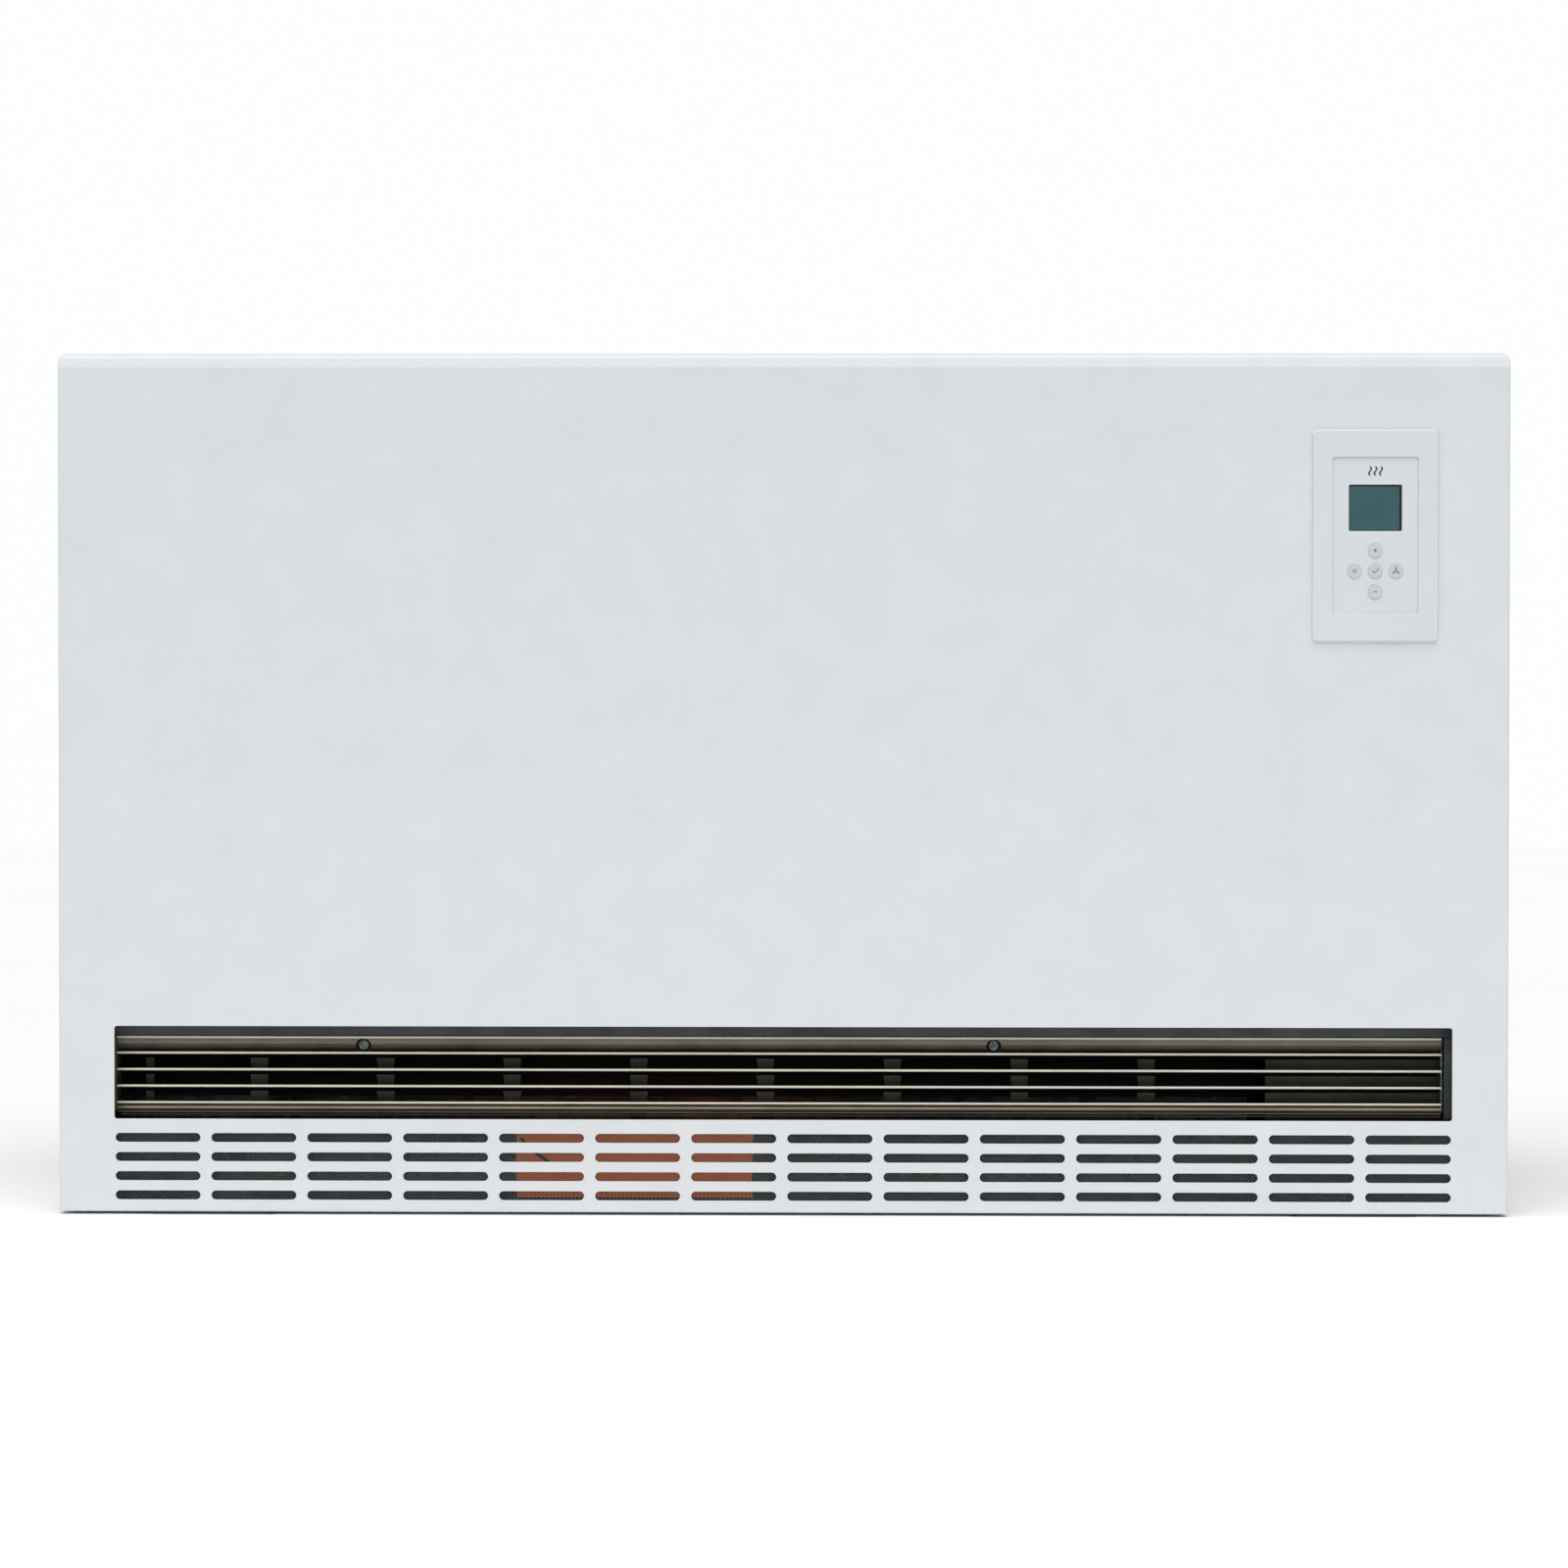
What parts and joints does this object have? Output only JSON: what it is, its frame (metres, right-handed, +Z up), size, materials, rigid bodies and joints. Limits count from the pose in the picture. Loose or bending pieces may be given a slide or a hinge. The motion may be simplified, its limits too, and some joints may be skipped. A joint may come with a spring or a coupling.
{
  "type": "fan-assisted electric storage heater",
  "caption": "Low, wide floor-standing heater: white casing, rows of inlet slots, louvred warm-air outlet, brick heat store, cross-flow fan and a front keypad with display.",
  "frame": {"origin": "on the floor, under the middle of the box that holds the whole heater", "axes": "+X to the viewer's right facing the heater, -Y out of the front panel, +Z up"},
  "size_m": [1.13, 0.2524, 0.672],
  "materials": {
    "white_powder_coat": "fine-textured powder coat, satin",
    "white_plastic": "satin moulded plastic",
    "key_plastic": "satin moulded plastic",
    "display": "gloss display window",
    "galvanised_steel": "galvanised sheet",
    "bronze_paint": "heat-resistant bronze-grey paint",
    "dark_paint": "matt dark heat-resistant paint",
    "filter_mesh": "fine woven mesh on a thin frame",
    "bright_steel": "bright zinc-plated steel",
    "fan_aluminium": "mill finish",
    "orange_housing": "satin orange paint",
    "heat_brick": "pressed magnetite brick",
    "insulation_board": "microporous insulation board",
    "circuit_board": "lacquered circuit board",
    "ceramic_body": "unglazed ceramic",
    "black_plastic": "moulded black plastic",
    "element_steel": "heat-darkened steel tube"
  },
  "bodies": {
    "heater": {"front_panel": "white_powder_coat", "top_cover": "white_powder_coat", "side_panel_left": "white_powder_coat", "side_panel_right": "white_powder_coat", "back_panel": "galvanised_steel", "base_tray": "galvanised_steel", "foot_left": "galvanised_steel", "foot_right": "galvanised_steel", "wall_bracket": "galvanised_steel", "outlet_floor": "galvanised_steel", "fan_tray": "galvanised_steel", "fan_guard": "galvanised_steel", "fan_motor": "galvanised_steel", "core_chassis": "galvanised_steel", "core_cover": "galvanised_steel", "partition_plate": "galvanised_steel", "grille_frame": "bronze_paint", "louvre_1": "bronze_paint", "louvre_2": "bronze_paint", "louvre_3": "bronze_paint", "louvre_4": "bronze_paint", "grille_back_frame": "dark_paint", "grille_screw_left": "bright_steel", "grille_screw_right": "bright_steel", "flap_actuator": "bright_steel", "inlet_filter": "filter_mesh", "motor_cover": "orange_housing", "bearing_left": "black_plastic", "bearing_right": "black_plastic", "cable_gland": "black_plastic", "brick_course_1": "heat_brick", "brick_course_2": "heat_brick", "brick_course_3": "heat_brick", "brick_course_4": "heat_brick", "heating_element_1": "element_steel", "heating_element_2": "element_steel", "heating_element_3": "element_steel", "insulation_bottom": "insulation_board", "insulation_top": "insulation_board", "insulation_front": "insulation_board", "insulation_back": "insulation_board", "insulation_left": "insulation_board", "insulation_right": "insulation_board", "control_bezel": "white_plastic", "keypad_panel": "white_plastic", "display_window": "display", "control_board": "circuit_board", "terminal_block": "ceramic_body", "safety_thermostat": "ceramic_body"},
    "key_plus": {"key_plus": "key_plastic"},
    "key_minus": {"key_minus": "key_plastic"},
    "key_ok": {"key_ok": "key_plastic"},
    "key_menu": {"key_menu": "key_plastic"},
    "key_fan": {"key_fan": "key_plastic"},
    "fan_rotor": {"fan_shaft": "bright_steel", "fan_rotor_left": "fan_aluminium", "fan_rotor_right": "fan_aluminium"},
    "flap": {"air_flap": "dark_paint"}
  },
  "joints": [
    {"name": "key_plus_press", "type": "slide", "parent": "heater", "child": "key_plus", "axis": [0, 1, 0], "range_m": [0, 0.0006], "stiffness_N_per_m": 1500},
    {"name": "key_minus_press", "type": "slide", "parent": "heater", "child": "key_minus", "axis": [0, 1, 0], "range_m": [0, 0.0006], "stiffness_N_per_m": 1500},
    {"name": "key_ok_press", "type": "slide", "parent": "heater", "child": "key_ok", "axis": [0, 1, 0], "range_m": [0, 0.0006], "stiffness_N_per_m": 1500},
    {"name": "key_menu_press", "type": "slide", "parent": "heater", "child": "key_menu", "axis": [0, 1, 0], "range_m": [0, 0.0006], "stiffness_N_per_m": 1500},
    {"name": "key_fan_press", "type": "slide", "parent": "heater", "child": "key_fan", "axis": [0, 1, 0], "range_m": [0, 0.0006], "stiffness_N_per_m": 1500},
    {"name": "fan_spin", "type": "hinge", "parent": "heater", "child": "fan_rotor", "pos_m": [-0.117, -0.06, 0.0359], "axis": [1, 0, 0], "continuous": true},
    {"name": "flap_swing", "type": "hinge", "parent": "heater", "child": "flap", "pos_m": [0, -0.045, 0.141], "axis": [1, 0, 0], "range_deg": [0, 55]}
  ]
}
